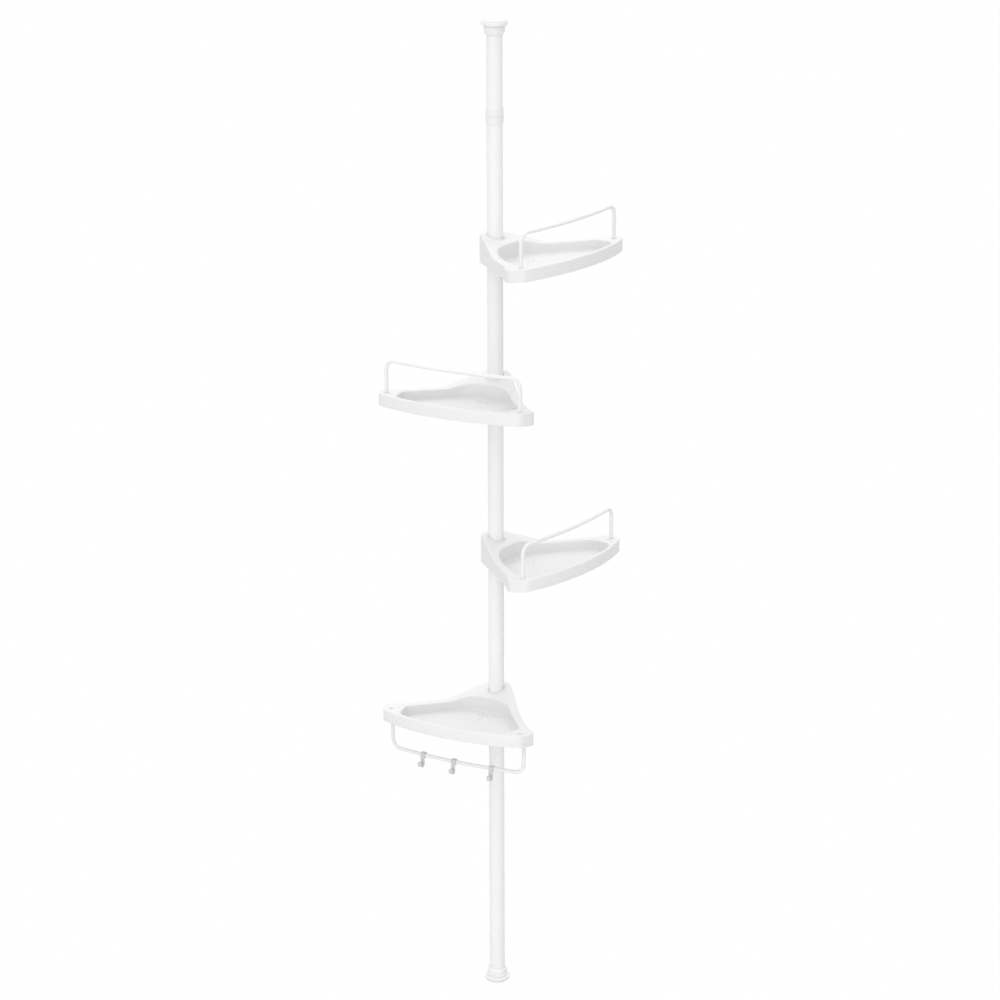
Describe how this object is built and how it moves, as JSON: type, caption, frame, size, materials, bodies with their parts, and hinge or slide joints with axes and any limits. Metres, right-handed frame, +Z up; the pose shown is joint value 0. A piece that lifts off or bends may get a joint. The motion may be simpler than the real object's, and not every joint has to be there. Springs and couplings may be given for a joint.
{
  "type": "tension pole shelf unit",
  "caption": "Floor-to-ceiling sprung tension pole carrying swivelling, sliding triangular corner trays with guard rails, a towel rail and clip-on hooks.",
  "frame": {"origin": "on the pole axis, on the underside of the foot pad", "axes": "+Z up the pole towards the ceiling, -Y towards the room in front, +X to the right seen from the front"},
  "size_m": [0.3788, 0.2205, 1.6143],
  "materials": {
    "white_tube": "gloss white powder coat on thin steel tube",
    "bare_steel_tube": "drawn steel tube",
    "grey_nylon": "moulded nylon",
    "ring_plastic": "smooth moulded plastic",
    "end_plastic": "smooth moulded plastic",
    "pad_rubber": "soft pale grey rubber",
    "stem_steel": "turned steel rod",
    "spring_steel": "spring wire",
    "tray_plastic": "satin white injection moulding",
    "grip_plastic": "moulded plastic",
    "white_rod": "white coated steel rod",
    "hook_plastic": "pale grey moulded plastic"
  },
  "bodies": {
    "pole": {"foot_pad": "pad_rubber", "floor_foot": "end_plastic", "pole_tube_1": "white_tube", "pole_tube_2": "white_tube", "pole_tube_3": "white_tube", "pole_tube_4": "white_tube", "tube_joint_1": "bare_steel_tube", "tube_joint_2": "bare_steel_tube", "tube_joint_3": "bare_steel_tube", "lock_ring_lower": "ring_plastic"},
    "lock_shoe": {"lock_shoe": "grey_nylon"},
    "upper_pole": {"lock_cam": "grey_nylon", "slider_tube": "bare_steel_tube", "slider_bush": "grey_nylon", "lock_ring_upper": "ring_plastic", "top_tube": "white_tube", "spring_seat": "grey_nylon"},
    "cap": {"cap_stem": "stem_steel", "stem_clip": "spring_steel", "ceiling_cap": "end_plastic", "ceiling_pad": "pad_rubber", "tension_spring": "spring_steel"},
    "grip_1": {"grip_sleeve_1": "grip_plastic"},
    "shelf_1": {"shelf_tray_1": "tray_plastic", "towel_rail": "white_rod"},
    "grip_2": {"grip_sleeve_2": "grip_plastic"},
    "shelf_2": {"shelf_tray_2": "tray_plastic", "guard_rail_2": "white_rod"},
    "grip_3": {"grip_sleeve_3": "grip_plastic"},
    "shelf_3": {"shelf_tray_3": "tray_plastic", "guard_rail_3": "white_rod"},
    "grip_4": {"grip_sleeve_4": "grip_plastic"},
    "shelf_4": {"shelf_tray_4": "tray_plastic", "guard_rail_4": "white_rod"},
    "hook_1": {"towel_hook_1": "hook_plastic"},
    "hook_2": {"towel_hook_2": "hook_plastic"},
    "hook_3": {"towel_hook_3": "hook_plastic"}
  },
  "joints": [
    {"name": "height_slide", "type": "slide", "parent": "pole", "child": "lock_shoe", "axis": [0, 0, 1], "range_m": [0, 0.18]},
    {"name": "twist_lock", "type": "hinge", "parent": "lock_shoe", "child": "upper_pole", "pos_m": [0, 0, 1.48], "axis": [0, 0, 1], "range_deg": [0, 60]},
    {"name": "cap_press", "type": "slide", "parent": "upper_pole", "child": "cap", "axis": [0, 0, 1], "range_m": [-0.012, 0], "stiffness_N_per_m": 1500, "springref_m": 0.03, "deforming": ["tension_spring"]},
    {"name": "shelf_1_height", "type": "slide", "parent": "pole", "child": "grip_1", "axis": [0, 0, 1], "range_m": [-0.3, 0.06]},
    {"name": "shelf_1_swivel", "type": "hinge", "parent": "grip_1", "child": "shelf_1", "pos_m": [0, 0, 0.5185], "axis": [0, 0, 1], "continuous": true},
    {"name": "shelf_2_height", "type": "slide", "parent": "pole", "child": "grip_2", "axis": [0, 0, 1], "range_m": [-0.06, 0.06]},
    {"name": "shelf_2_swivel", "type": "hinge", "parent": "grip_2", "child": "shelf_2", "pos_m": [0, 0, 0.7787], "axis": [0, 0, 1], "continuous": true},
    {"name": "shelf_3_height", "type": "slide", "parent": "pole", "child": "grip_3", "axis": [0, 0, 1], "range_m": [-0.06, 0.06]},
    {"name": "shelf_3_swivel", "type": "hinge", "parent": "grip_3", "child": "shelf_3", "pos_m": [0, 0, 1.0473], "axis": [0, 0, 1], "continuous": true},
    {"name": "shelf_4_height", "type": "slide", "parent": "pole", "child": "grip_4", "axis": [0, 0, 1], "range_m": [-0.06, 0.1]},
    {"name": "shelf_4_swivel", "type": "hinge", "parent": "grip_4", "child": "shelf_4", "pos_m": [0, 0, 1.2733], "axis": [0, 0, 1], "continuous": true},
    {"name": "hook_1_along_rail", "type": "hinge", "parent": "shelf_1", "child": "hook_1", "pos_m": [0.25655, 0.49283, 0.4485], "axis": [0, 0, 1], "range_deg": [-1.6, 1.6]},
    {"name": "hook_2_along_rail", "type": "hinge", "parent": "shelf_1", "child": "hook_2", "pos_m": [0.25655, 0.49283, 0.4485], "axis": [0, 0, 1], "range_deg": [-1.6, 1.6]},
    {"name": "hook_3_along_rail", "type": "hinge", "parent": "shelf_1", "child": "hook_3", "pos_m": [0.25655, 0.49283, 0.4485], "axis": [0, 0, 1], "range_deg": [-1.6, 1.6]}
  ]
}
